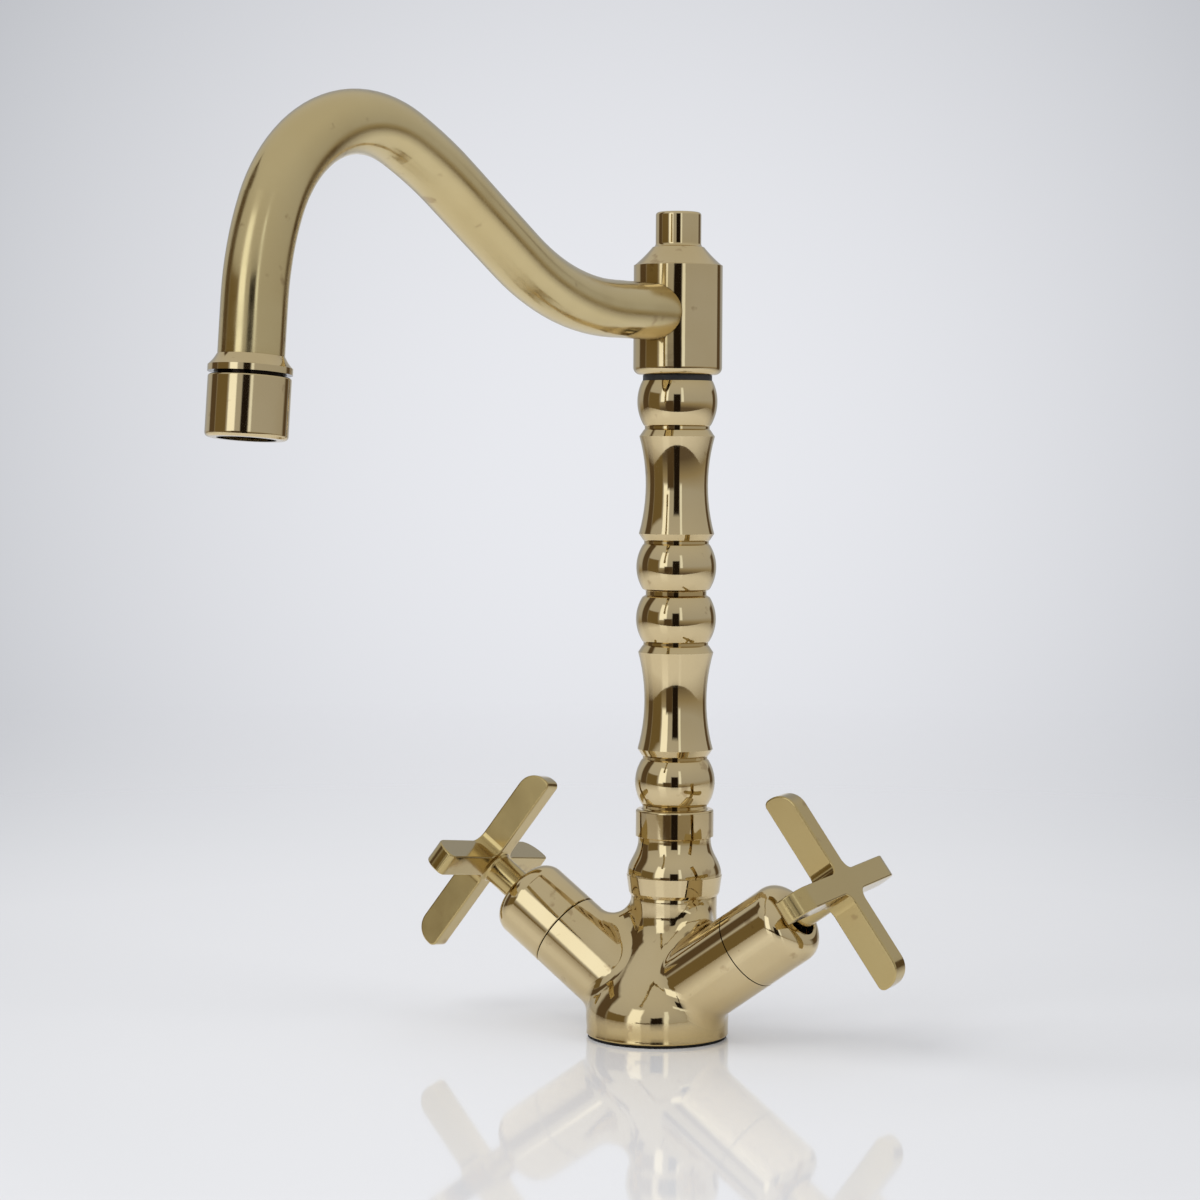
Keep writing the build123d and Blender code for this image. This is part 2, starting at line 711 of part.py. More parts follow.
def outlet_plane(path):
    """Plane through the outlet's axis: local x is the radius and y runs down it."""
    line = path.wires()[0]
    down = line % 1
    across = SPOUT_PLANE.z_dir
    return Plane(origin=line @ 1, x_dir=across, z_dir=across.cross(down))


def turn_outlet(plane, points):
    """Turned outlet piece from a closed outline of radii and distances down."""
    with BuildPart() as piece:
        with BuildSketch(plane):
            with BuildLine():
                Polyline(*points, close=True)
            make_face()
        revolve(axis=Axis(plane.origin, plane.y_dir))
    return piece


def make_nozzle(plane):
    """Flared collar on the tube's end, with a sleeve inside the tube and a female thread."""
    sleeve_r = TUBE_R - TUBE_WALL - BRAZE_GAP
    bore_r = sleeve_r - NOZZLE_SLEEVE_WALL
    seat = NOZZLE_HEIGHT - OUTLET_THREAD_DEPTH
    with BuildPart() as nozzle:
        with BuildSketch(plane):
            with BuildLine():
                Polyline(
                    (bore_r, seat),
                    (bore_r, -NOZZLE_SLEEVE),
                    (sleeve_r, -NOZZLE_SLEEVE),
                    (sleeve_r, 0),
                    (NOZZLE_TOP_R, 0),
                )
                Spline(
                    (NOZZLE_TOP_R, 0),
                    (NOZZLE_FLARE_R, NOZZLE_FLARE),
                    tangents=((1, 2), (1, 1)),
                )
                Polyline(
                    (NOZZLE_FLARE_R, NOZZLE_FLARE),
                    (NOZZLE_R, NOZZLE_FLARE + (NOZZLE_R - NOZZLE_FLARE_R)),
                    (NOZZLE_R, NOZZLE_HEIGHT),
                    (OUTLET_THREAD_R, NOZZLE_HEIGHT),
                    (OUTLET_THREAD_R, seat),
                    (bore_r, seat),
                )
            make_face()
        revolve(axis=Axis(plane.origin, plane.y_dir))
    return nozzle


def make_housing(plane):
    """Aerator housing: male thread above, smooth barrel, lip that holds the insert."""
    thread_r = OUTLET_THREAD_R - THREAD_GAP
    thread_top = NOZZLE_HEIGHT - OUTLET_THREAD_DEPTH + AERATOR_WASHER
    barrel_top = NOZZLE_HEIGHT + HOUSING_GAP
    foot = barrel_top + HOUSING_HEIGHT
    with BuildPart() as housing:
        with BuildSketch(plane):
            with BuildLine():
                Polyline(
                    (HOUSING_R - HOUSING_LOWER_EDGE, foot),
                    (HOUSING_LIP_R, foot),
                    (HOUSING_LIP_R, foot - HOUSING_LIP),
                    (HOUSING_BORE_R, foot - HOUSING_LIP),
                    (HOUSING_BORE_R, thread_top),
                    (thread_r, thread_top),
                    (thread_r, barrel_top),
                    (HOUSING_R - HOUSING_TOP_EDGE, barrel_top),
                )
                RadiusArc(
                    (HOUSING_R - HOUSING_TOP_EDGE, barrel_top),
                    (HOUSING_R, barrel_top + HOUSING_TOP_EDGE),
                    -HOUSING_TOP_EDGE,
                )
                Line((HOUSING_R, barrel_top + HOUSING_TOP_EDGE), (HOUSING_R, foot - HOUSING_LOWER_EDGE))
                RadiusArc(
                    (HOUSING_R, foot - HOUSING_LOWER_EDGE),
                    (HOUSING_R - HOUSING_LOWER_EDGE, foot),
                    -HOUSING_LOWER_EDGE,
                )
            make_face()
        revolve(axis=Axis(plane.origin, plane.y_dir))
    return housing


def make_screen(plane, top):
    """Perforated disc at the mouth of the outlet."""
    field = HOUSING_BORE_R - THREAD_GAP - SCREEN_RIM - SCREEN_HOLE_R
    rows = int(field / SCREEN_PITCH)
    holes = []
    for row in range(-rows, rows + 1):
        for column in range(-rows, rows + 1):
            spot = Vector(row * SCREEN_PITCH, column * SCREEN_PITCH)
            if spot.length < field:
                holes.append((spot.X, spot.Y))
    level = Plane(origin=plane.origin + plane.y_dir * top, x_dir=plane.x_dir, z_dir=plane.y_dir)
    with BuildPart() as screen:
        with BuildSketch(level):
            Circle(HOUSING_BORE_R - THREAD_GAP)
            with Locations(*holes):
                Circle(SCREEN_HOLE_R, mode=Mode.SUBTRACT)
        extrude(amount=SCREEN_THICK)
    return screen


def make_outlet(path):
    """Nozzle, washer, housing, insert and screen, in order down the outlet."""
    plane = outlet_plane(path)
    seat = NOZZLE_HEIGHT - OUTLET_THREAD_DEPTH
    lip = NOZZLE_HEIGHT + HOUSING_GAP + HOUSING_HEIGHT - HOUSING_LIP
    washer_outer = OUTLET_THREAD_R - THREAD_GAP
    insert_r = HOUSING_BORE_R - THREAD_GAP
    insert_foot = lip - SCREEN_THICK
    insert_top = insert_foot - INSERT_HEIGHT
    washer = [
        (AERATOR_WASHER_R, seat),
        (washer_outer, seat),
        (washer_outer, seat + AERATOR_WASHER),
        (AERATOR_WASHER_R, seat + AERATOR_WASHER),
    ]
    insert = [
        (insert_r - INSERT_WALL, insert_top),
        (insert_r, insert_top),
        (insert_r, insert_foot),
        (insert_r - INSERT_WALL, insert_foot),
    ]
    save(make_nozzle(plane), "spout_nozzle")
    save(turn_outlet(plane, washer), "aerator_washer")
    save(make_housing(plane), "aerator_housing")
    save(turn_outlet(plane, insert), "aerator_insert")
    save(make_screen(plane, insert_foot), "aerator_screen")


# Valves


def make_valve_housing(side):
    """Cage round the discs, thread into the arm, spanner hexagon and neck."""
    with BuildPart() as housing:
        with BuildSketch(across_arm(side, DISC_SEAT)):
            Circle(CAGE_R)
        extrude(amount=THREAD_START - DISC_SEAT)
        with BuildSketch(across_arm(side, THREAD_START)):
            Circle(VALVE_THREAD_R)
        extrude(amount=SPIGOT_END - THREAD_START)
        with BuildSketch(across_arm(side, SPIGOT_END)):
            RegularPolygon(HEX_FLATS / 2, 6, major_radius=False)
        extrude(amount=HEX_THICK)
        with BuildSketch(across_arm(side, SPIGOT_END + HEX_THICK)):
            Circle(VALVE_NECK_R)
        extrude(amount=VALVE_NECK)
        with BuildSketch(across_arm(side, DISC_SEAT)):
            Circle(SPINDLE_R + RUNNING_GAP)
        extrude(amount=VALVE_TOP - DISC_SEAT, mode=Mode.SUBTRACT)
        with BuildSketch(across_arm(side, DISC_SEAT)):
            Circle(CAGE_BORE_R)
        extrude(amount=CAGE_SHOULDER - DISC_SEAT, mode=Mode.SUBTRACT)
        # Two windows let the water out past the moving disc
        with BuildSketch(across_arm(side, MOVING_DISC_SEAT)):
            Rectangle(4 * CAGE_R, WINDOW_WIDTH)
        extrude(amount=WINDOW_LENGTH, mode=Mode.SUBTRACT)
    return housing


def make_fixed_disc(side):
    """Ceramic disc with two ports."""
    with BuildPart() as disc:
        with BuildSketch(across_arm(side, DISC_SEAT)):
            Circle(DISC_R)
            with PolarLocations(DISC_PORT_OUT, 2):
                Circle(DISC_PORT_R, mode=Mode.SUBTRACT)
        extrude(amount=DISC_THICK)
    return disc


def make_moving_disc(side):
    """Ceramic disc with two notches, a quarter turn off the ports when shut, and a drive slot."""
    with BuildPart() as disc:
        with BuildSketch(across_arm(side, MOVING_DISC_SEAT)):
            Circle(DISC_R)
            with PolarLocations(DISC_PORT_OUT, 2, start_angle=90):
                Circle(DISC_PORT_R, mode=Mode.SUBTRACT)
            with PolarLocations(DISC_R, 2, start_angle=90):
                Rectangle(2 * (DISC_R - DISC_PORT_OUT), 2 * DISC_PORT_R, mode=Mode.SUBTRACT)
        extrude(amount=DISC_THICK)
        with BuildSketch(across_arm(side, SPINDLE_FOOT)):
            Rectangle(4 * DISC_R, TONGUE_WIDTH + 2 * SOCKET_GAP)
        extrude(amount=-TONGUE_HEIGHT - SOCKET_GAP, mode=Mode.SUBTRACT)
    return disc


def make_spindle(side):
    """Drive tongue and flange, sealed shaft, clip groove and splined end."""
    ring_middle = VALVE_TOP - SPINDLE_RING_DOWN
    with BuildPart() as spindle:
        with BuildSketch(across_arm(side, SPINDLE_FOOT)):
            Circle(SPINDLE_FLANGE_R)
        extrude(amount=SPINDLE_FLANGE)
        with BuildSketch(across_arm(side, SPINDLE_FOOT)):
            Rectangle(TONGUE_LENGTH, TONGUE_WIDTH)
        extrude(amount=-TONGUE_HEIGHT)
        with BuildSketch(across_arm(side, SPINDLE_FOOT)):
            Circle(SPINDLE_R)
        extrude(amount=SPINDLE_CLIP_SEAT - SPINDLE_FOOT)
        with BuildSketch(across_arm(side, ring_middle - SPINDLE_RING_WIDTH / 2)):
            Circle(SPINDLE_R)
            Circle(SPINDLE_R - SPINDLE_RING_DEPTH, mode=Mode.SUBTRACT)
        extrude(amount=SPINDLE_RING_WIDTH, mode=Mode.SUBTRACT)
        with BuildSketch(across_arm(side, SPINDLE_CLIP_SEAT)):
            Circle(SPINDLE_CLIP_GROOVE_R)
        extrude(amount=SPINDLE_CLIP)
        with BuildSketch(across_arm(side, SPLINE_START)):
            Circle(SPLINE_R)
        extrude(amount=SPINDLE_TOP - SPLINE_START)
        with BuildSketch(across_arm(side, SPINDLE_TOP)):
            with PolarLocations(SPLINE_R, SPLINE_TEETH):
                Circle(SPLINE_DEPTH)
        extrude(amount=-SPLINE_LENGTH, mode=Mode.SUBTRACT)
    return spindle


def make_spindle_ring(side):
    """Rubber ring in the spindle's groove."""
    section_r = SPINDLE_RING_DEPTH / 2
    with BuildPart() as piece:
        with BuildSketch(arm_plane(side)):
            with Locations((VALVE_TOP - SPINDLE_RING_DOWN, SPINDLE_R - section_r)):
                Circle(section_r)
        revolve(axis=arm_axis(side))
    return piece


def make_spindle_clip(side):
    """Open ring above the housing's neck that keeps the spindle from dropping in."""
    with BuildPart() as clip:
        with BuildSketch(across_arm(side, SPINDLE_CLIP_SEAT)):
            Circle(SPINDLE_CLIP_R)
            Circle(SPINDLE_CLIP_GROOVE_R, mode=Mode.SUBTRACT)
            with Locations((SPINDLE_CLIP_R, 0)):
                Rectangle(2 * SPINDLE_CLIP_R, SPINDLE_CLIP_OPENING, mode=Mode.SUBTRACT)
        extrude(amount=SPINDLE_CLIP)
    return clip


# Shrouds and handles


def make_shroud(side, seam):
    """Sleeve over the valve, rounded over at its outer end."""
    start = ARM_LENGTH + seam
    inner_end = SHROUD_END - SHROUD_END_WALL
    with BuildPart() as shroud:
        with BuildSketch(arm_plane(side)):
            with BuildLine():
                Polyline(
                    (inner_end - SHROUD_INNER_ROUND, SHROUD_BORE_R),
                    (start, SHROUD_BORE_R),
                    (start, ARM_R - SHROUD_MOUTH_EDGE),
                    (start + SHROUD_MOUTH_EDGE, ARM_R),
                    (SHROUD_END - SHROUD_SHOULDER, ARM_R),
                )
                RadiusArc(
                    (SHROUD_END - SHROUD_SHOULDER, ARM_R),
                    (SHROUD_END, ARM_R - SHROUD_SHOULDER),
                    SHROUD_SHOULDER,
                )
                Polyline(
                    (SHROUD_END, ARM_R - SHROUD_SHOULDER),
                    (SHROUD_END, SHROUD_HOLE_R),
                    (inner_end, SHROUD_HOLE_R),
                    (inner_end, SHROUD_BORE_R - SHROUD_INNER_ROUND),
                )
                RadiusArc(
                    (inner_end, SHROUD_BORE_R - SHROUD_INNER_ROUND),
                    (inner_end - SHROUD_INNER_ROUND, SHROUD_BORE_R),
                    -SHROUD_INNER_ROUND,
                )
            make_face()
        revolve(axis=arm_axis(side))
    return shroud


def grub_plane(side, turn):
    """Plane through the arm's axis at the grub screw, facing out along the screw."""
    square = across_arm(side, GRUB_ALONG, turn + GRUB_TURN_DEG)
    return Plane(origin=square.origin, x_dir=square.z_dir, z_dir=square.x_dir)


def make_handle(side, turn):
    """Four-blade cross on a stem, socketed for the spindle."""
    with BuildPart() as handle:
        with BuildSketch(across_arm(side, BLADE_BACK, turn)) as cross:
            Rectangle(2 * BLADE_REACH, BLADE_WIDTH)
            Rectangle(BLADE_WIDTH, 2 * BLADE_REACH)
            fillet(cross.vertices().sort_by_distance((0, 0))[:4], radius=HUB_FILLET)
        extrude(amount=BLADE_DEPTH)
        centre = across_arm(side, HANDLE_FACE - BLADE_DEPTH / 2).origin
        ends = handle.edges().filter_by(
            lambda edge: abs(edge.length - BLADE_WIDTH) < THREAD_GAP
            and (edge.center() - centre).length > BLADE_REACH
        )
        outward = arm_plane(side).x_dir
        front = ends.filter_by(lambda edge: (edge.center() - centre).dot(outward) > 0)
        back = ends.filter_by(lambda edge: (edge.center() - centre).dot(outward) < 0)
        fillet(front, radius=BLADE_OUTER_ROUND)
        fillet(back, radius=BLADE_BACK_ROUND)
        # Soften every outline edge; the rest are seams between smooth faces
        seams = (BLADE_WIDTH, BLADE_DEPTH)
        rims = handle.edges().filter_by(
            lambda edge: all(abs(edge.length - seam) > THREAD_GAP for seam in seams)
        )
        fillet(rims, radius=BLADE_EDGE)
        with BuildSketch(across_arm(side, STEM_START)):
            Circle(STEM_R)
        extrude(amount=HANDLE_FACE - STEM_START - BLADE_DEPTH / 2)
        root = across_arm(side, BLADE_BACK).origin
        foot = handle.edges().filter_by(
            lambda edge: edge.is_closed
            and abs((edge.center() - root).length - STEM_R) < THREAD_GAP
        )
        fillet(foot, radius=STEM_FILLET)
        with BuildSketch(across_arm(side, STEM_START)):
            Circle(SPLINE_R + SOCKET_GAP)
        extrude(amount=SOCKET_END - STEM_START, mode=Mode.SUBTRACT)
        with BuildSketch(grub_plane(side, turn)):
            Circle(GRUB_R + SOCKET_GAP)
        extrude(amount=STEM_R + HUB_FILLET, mode=Mode.SUBTRACT)
    return handle


def make_grub_screw(side, turn):
    """Headless screw with a hexagon key hole, clamping the handle to the spindle."""
    plane = grub_plane(side, turn)
    foot = SPLINE_R + SOCKET_GAP
    with BuildPart() as screw:
        with BuildSketch(plane.offset(foot)):
            Circle(GRUB_R)
        extrude(amount=GRUB_LENGTH)
        with BuildSketch(plane.offset(foot + GRUB_LENGTH)):
            RegularPolygon(GRUB_KEY / 2, 6, major_radius=False)
        extrude(amount=-GRUB_KEY_DEPTH, mode=Mode.SUBTRACT)
    return screw


def save_side(side, name, turn, seam):
    """Write every piece of one valve, with its shroud and handle."""
    seal = arm_ring(side, (SEAL_BORE_R, CAGE_R), (CHAMBER_SEAT, DISC_SEAT))
    save(seal, f"{name}_seat_seal")
    save(make_fixed_disc(side), f"{name}_fixed_disc")
    save(make_moving_disc(side), f"{name}_moving_disc")
    save(make_valve_housing(side), f"{name}_valve_housing")
    save(make_spindle(side), f"{name}_spindle")
    save(make_spindle_ring(side), f"{name}_spindle_o_ring")
    save(make_spindle_clip(side), f"{name}_spindle_clip")
    save(make_shroud(side, seam), f"{name}_shroud")
    save(make_handle(side, turn), f"{name}_cross_handle")
    save(make_grub_screw(side, turn), f"{name}_grub_screw")


if __name__ == "__main__":
    os.makedirs("parts", exist_ok=True)
    save(make_body(), "body_casting")
    save(make_gasket(), "foot_gasket")
    save(make_column_base(), "column_base")
    save(make_column(), "turned_column")
    save(make_nipple(), "swivel_nipple")
    base_ring = (NECK_THREAD_R + MIXING_R) / 2
    save(pillar_o_ring(base_ring, NECK_SOCKET_FLOOR + JOINT_RING_R, JOINT_RING_R), "base_o_ring")
    column_ring = (COLUMN_SPIGOT_R + BASE_SPIGOT_BORE_R) / 2
    save(pillar_o_ring(column_ring, COLUMN_SOCKET_FLOOR + JOINT_RING_R, JOINT_RING_R), "column_o_ring")
    nipple_ring = (NIPPLE_THREAD_R + COLUMN_BORE_R) / 2
    save(pillar_o_ring(nipple_ring, NIPPLE_SOCKET_FLOOR + JOINT_RING_R, JOINT_RING_R), "nipple_o_ring")
    swivel_ring_r = RING_GROOVE_DEPTH / 2
    swivel_ring = PIVOT_R - swivel_ring_r
    save(pillar_o_ring(swivel_ring, HEAD_FLOOR + LOWER_RING_HEIGHT, swivel_ring_r), "swivel_o_ring_lower")
    save(pillar_o_ring(swivel_ring, HEAD_FLOOR + UPPER_RING_HEIGHT, swivel_ring_r), "swivel_o_ring_upper")
    save(pillar_ring((PIVOT_R, WASHER_R), (COLUMN_TOP, COLUMN_TOP + WASHER_THICK)), "swivel_washer")
    save(make_clip(), "head_retaining_clip")
    save(make_head(), "spout_head")
    save(make_cap(), "finial_cap")
    path = spout_path()
    save(make_tube(path), "spout_tube")
    make_outlet(path)
    save_side(-1, "hot", HOT_HANDLE_DEG, HOT_SEAM)
    save_side(1, "cold", COLD_HANDLE_DEG, COLD_SEAM)
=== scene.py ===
# Looks of the polished brass mixer: finishes, table top, studio light and camera.
# Metres throughout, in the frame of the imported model.
import json
from math import radians

import bpy
from mathutils import Matrix, Vector


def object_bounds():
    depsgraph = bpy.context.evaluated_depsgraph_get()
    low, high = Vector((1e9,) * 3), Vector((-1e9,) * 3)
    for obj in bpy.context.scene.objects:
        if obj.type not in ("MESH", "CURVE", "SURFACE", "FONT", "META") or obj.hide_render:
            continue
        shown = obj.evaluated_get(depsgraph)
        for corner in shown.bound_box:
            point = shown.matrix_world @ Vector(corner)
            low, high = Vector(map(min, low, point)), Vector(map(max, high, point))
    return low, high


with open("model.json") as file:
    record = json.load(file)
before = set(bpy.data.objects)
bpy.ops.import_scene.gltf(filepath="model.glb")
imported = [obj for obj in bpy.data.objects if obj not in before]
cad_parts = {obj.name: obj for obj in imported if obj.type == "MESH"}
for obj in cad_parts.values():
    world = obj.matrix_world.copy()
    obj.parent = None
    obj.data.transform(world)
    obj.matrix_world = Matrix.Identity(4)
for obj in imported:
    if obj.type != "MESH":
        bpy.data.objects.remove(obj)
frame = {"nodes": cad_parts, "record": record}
cad_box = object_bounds()
scene = bpy.context.scene

# Camera: place and viewing directions at the photograph's angle
CAMERA_AT = Vector((0.5740, -1.0204, 0.2280))
CAMERA_RIGHT = Vector((0.8615, 0.5078, 0.0054))
CAMERA_UP = Vector((-0.0292, 0.0389, 0.9988))
LENS_MM = 90.0
SENSOR_MM = 36.0

# Straight up, and the level direction from the object to the camera's side
UP = (0.0, 0.0, 1.0)
FRONT = Vector((0.507, -0.862))

# Brass tones: polished, deeper brass for the cloudy tone and for the painted shade in the hollows,
# of the spout, handles and plain pieces, tarnish, and near black for the painted shade in the gaps
BRASS = (0.660, 0.540, 0.325)
BRASS_DEEP_AND_SHADE = (0.500, 0.360, 0.140)
SPOUT_BRASS = (0.640, 0.530, 0.290)
# Handles: the body's brass painted darker, a painted shade for the darker surroundings they mirror
HANDLE_BRASS_SHADED = (0.510, 0.400, 0.185)
PLAIN_BRASS = (0.560, 0.410, 0.170)
TARNISH = (0.300, 0.190, 0.090)
GAP_SHADE_TONE = (0.012, 0.008, 0.006)

# Other materials
STEEL = (0.560, 0.550, 0.530)
CERAMIC = (0.860, 0.850, 0.820)
RUBBER = (0.009, 0.008, 0.007)
BLACK_PLASTIC = (0.022, 0.022, 0.024)

# Brass surface: scale and detail of each noise, how strongly it shows, and where specks begin
CLOUD_NOISE = (28.0, 5.0)
CLOUD_SHARE = 0.20
SPECK_NOISE = (130.0, 3.0)
SPECK_SHARE = 0.45
SPECK_BAND = (0.66, 0.72)
HAZE_NOISE = (60.0, 6.0)
BRASS_RELIEF_NOISE = (220.0, 3.0)
BRASS_RELIEF = 0.05

# Plain surface: the same for its mottle, roughness and relief
MOTTLE_NOISE = (75.0, 4.0)
MOTTLE_SHADE = 0.75
ROUGH_NOISE = (300.0, 4.0)
PLAIN_RELIEF_NOISE = (900.0, 4.0)
PLAIN_RELIEF = 0.15

# On both: depth of the relief, and part of a noise's range that is spread over what it drives
RELIEF_DEPTH = 0.0002
NOISE_BAND = (0.35, 0.65)

# Painted shade in the hollows, gaps and outlet: reach, and the openness at which the painted shade
# is full and at which it is gone
HOLLOW_SHADE = (0.014, 0.30, 1.05)
GAP_SHADE = (0.0014, 0.35, 0.62)
OUTLET_SHADE = (0.003, 0.55, 0.80)

# Brass finishes: tone, lowest and highest roughness, painted shade in the gaps
BRASS_FINISHES = {
    "polished_brass": (BRASS, (0.03, 0.07), GAP_SHADE),
    "spout_brass": (SPOUT_BRASS, (0.12, 0.24), GAP_SHADE),
    # Handles: hazier, with the tone painted darker as shade
    "shaded_handle_brass": (HANDLE_BRASS_SHADED, (0.10, 0.20), GAP_SHADE),
    "outlet_brass": (BRASS, (0.05, 0.10), OUTLET_SHADE),
    "plain_brass": (PLAIN_BRASS, (0.22, 0.34), GAP_SHADE),
}

# Other finishes: colour, lowest and highest roughness, metallic, shine
PLAIN_FINISHES = {
    "steel": (STEEL, (0.20, 0.34), 1.0, 0.50),
    "ceramic": (CERAMIC, (0.10, 0.18), 0.0, 0.50),
    "black_rubber": (RUBBER, (0.50, 0.68), 0.0, 0.15),
    "black_plastic": (BLACK_PLASTIC, (0.40, 0.55), 0.0, 0.50),
}

# Nodes with a finish other than that of their material slot
NODE_FINISHES = {
    "hot_cross_handle": "shaded_handle_brass",
    "cold_cross_handle": "shaded_handle_brass",
    "spout_nozzle": "outlet_brass",
    "aerator_housing": "outlet_brass",
}

# Table top: colour, gloss and size
TABLE = (0.90, 0.905, 0.92)
TABLE_ROUGHNESS = 0.05
TABLE_SHINE = 0.70
TABLE_RADIUS = 2.0
TABLE_SIDES = 96

# How far the table's centre lies behind the object, and the distances from it where the top fades
TABLE_SHIFT = 1.5
TABLE_FADE = (0.45, 1.6)

# Sweep behind the object, coloured by how far a direction points along its axis
SWEEP_AXIS = (-0.5, 0.8625, 0.0)
SWEEP_MIDDLE = (0.83, 0.84, 0.88)
SWEEP_AROUND = (0.70, 0.71, 0.745)
SWEEP_CORNER = (0.44, 0.455, 0.485)
SWEEP_STOPS = (
    (0.0, SWEEP_CORNER),
    (0.955, SWEEP_CORNER),
    (0.985, SWEEP_AROUND),
    (0.999, SWEEP_MIDDLE),
)

# Room that the metal mirrors, coloured by height from straight down at 0 to straight up at 1
ROOM_FLOOR = (0.14, 0.11, 0.08)
ROOM_WALL_LOW = (0.38, 0.33, 0.24)
ROOM_WALL = (0.52, 0.52, 0.525)
ROOM_CEILING = (0.66, 0.66, 0.65)
ROOM_STOPS = (
    (0.36, ROOM_FLOOR),
    (0.45, ROOM_WALL_LOW),
    (0.52, ROOM_WALL),
    (0.92, ROOM_CEILING),
)

# How far a direction points to the front where the mirrored sweep turns into the room
ROOM_EDGE = (-0.85, -0.70)

# Even light from all round on what isn't mirrored
FILL = (0.62, 0.62, 0.63)

# Softness of the lower and upper limits of the things in the room
HEIGHT_SOFTNESS = 0.02

# Things in the room: bearing in degrees from the front, positive to the picture's right,
# limits of the upward share of the direction, softness of the sides in degrees, and colour
ROOM_THINGS = (
    # Dark bands beside the sweep, left and right
    ((-118, -92), (-0.60, 0.70), 3.0, (0.12, 0.085, 0.05)),
    ((120, 142), (-0.60, 0.22), 4.0, (0.12, 0.085, 0.05)),
    # Brown band on the left
    ((-92, -54), (-0.60, 0.30), 2.5, (0.20, 0.150, 0.070)),
    # Wide bright window on the left, narrow one on the right
    ((-50, -28), (-0.02, 0.62), 1.5, (1.40, 1.48, 1.58)),
    ((10, 17), (-0.02, 0.55), 1.0, (1.10, 1.18, 1.28)),
    # Low brown shape on the left, dark upright shape in front
    ((-36, -12), (-0.70, 0.03), 2.0, (0.10, 0.070, 0.040)),
    ((-12, 8), (-0.95, 0.30), 1.5, (0.016, 0.011, 0.008)),
)

# Soft lamps: name, place, size and power, all aimed at one point
LAMP_TARGET = Vector((0.0, 0.0, 0.15))
SOFTBOXES = (
    ("window_high", (-0.3, -1.3, 1.5), (1.2, 0.9), 12.0),
    ("window_left", (-1.4, -0.5, 0.9), (0.8, 1.0), 6.0),
    ("softbox_right", (1.5, 0.2, 0.9), (0.8, 1.2), 6.0),
)


# Shader building blocks


def new_material(name):
    """Empty node material; gives back it, its tree and its Principled shader."""
    material = bpy.data.materials.new(name)
    material.use_nodes = True
    tree = material.node_tree
    return material, tree, tree.nodes["Principled BSDF"]


def add_node(tree, kind, **settings):
    """New node with its properties set."""
    node = tree.nodes.new(kind)
    for key, value in settings.items():
        setattr(node, key, value)
    return node


def noise(tree, scale, detail):
    """Noise over the object's own coordinates."""
    coordinates = add_node(tree, "ShaderNodeTexCoord")
    texture = add_node(tree, "ShaderNodeTexNoise")
    texture.inputs["Scale"].default_value = scale
    texture.inputs["Detail"].default_value = detail
    tree.links.new(coordinates.outputs["Object"], texture.inputs["Vector"])
    return texture.outputs["Fac"]


def ranged(tree, value, source, target):
    """Map a value from one pair of limits to another, held at the limits."""
    node = add_node(tree, "ShaderNodeMapRange")
    node.inputs["From Min"].default_value = source[0]
    node.inputs["From Max"].default_value = source[1]
    node.inputs["To Min"].default_value = target[0]
    node.inputs["To Max"].default_value = target[1]
    tree.links.new(value, node.inputs["Value"])
    return node.outputs["Result"]


def combined(tree, operation, first, second):
    """Arithmetic on two value sockets."""
    node = add_node(tree, "ShaderNodeMath", operation=operation)
    tree.links.new(first, node.inputs[0])
    tree.links.new(second, node.inputs[1])
    return node.outputs["Value"]


def mixed(tree, factor, first, second):
    """Blend of two colours, each given as a colour or a socket."""
    node = add_node(tree, "ShaderNodeMix", data_type="RGBA")
    tree.links.new(factor, node.inputs["Factor"])
    for key, colour in (("A", first), ("B", second)):
        socket = [s for s in node.inputs if s.name == key and s.type == "RGBA"][0]
        if isinstance(colour, tuple):
            socket.default_value = (*colour, 1.0)
        else:
            tree.links.new(colour, socket)
    return [s for s in node.outputs if s.type == "RGBA"][0]


def bumped(tree, shader, height, strength):
    """Fine relief from a height socket."""
    bump = add_node(tree, "ShaderNodeBump")
    bump.inputs["Strength"].default_value = strength
    bump.inputs["Distance"].default_value = RELIEF_DEPTH
    tree.links.new(height, bump.inputs["Height"])
    tree.links.new(bump.outputs["Normal"], shader.inputs["Normal"])


def closeness(tree, reach, closed, free):
    """1 deep in a hollow narrower than the reach, 0 in the open."""
    node = add_node(tree, "ShaderNodeAmbientOcclusion")
    node.inputs["Distance"].default_value = reach
    return ranged(tree, node.outputs["AO"], (closed, free), (1.0, 0.0))


def ramp(tree, value, stops):
    """Colour ramp over a value, with its stops as (place, colour) in rising order."""
    node = add_node(tree, "ShaderNodeValToRGB")
    elements = node.color_ramp.elements
    for place, _ in stops[1:-1]:
        elements.new(place)
    for element, (place, colour) in zip(elements, stops):
        element.position = place
        element.color = (*colour, 1.0)
    tree.links.new(value, node.inputs["Fac"])
    return node.outputs["Color"]


def along(tree, direction, axis):
    """How far a direction points along an axis."""
    product = add_node(tree, "ShaderNodeVectorMath", operation="DOT_PRODUCT")
    product.inputs[1].default_value = axis
    tree.links.new(direction, product.inputs[0])
    return product.outputs["Value"]


def between(tree, value, limits, soft):
    """1 between two limits and 0 outside them, blended over the soft distance on both sides."""
    low, high = limits
    rise = ranged(tree, value, (low - soft, low + soft), (0.0, 1.0))
    fall = ranged(tree, value, (high - soft, high + soft), (1.0, 0.0))
    return combined(tree, "MINIMUM", rise, fall)


# Finishes of the pieces


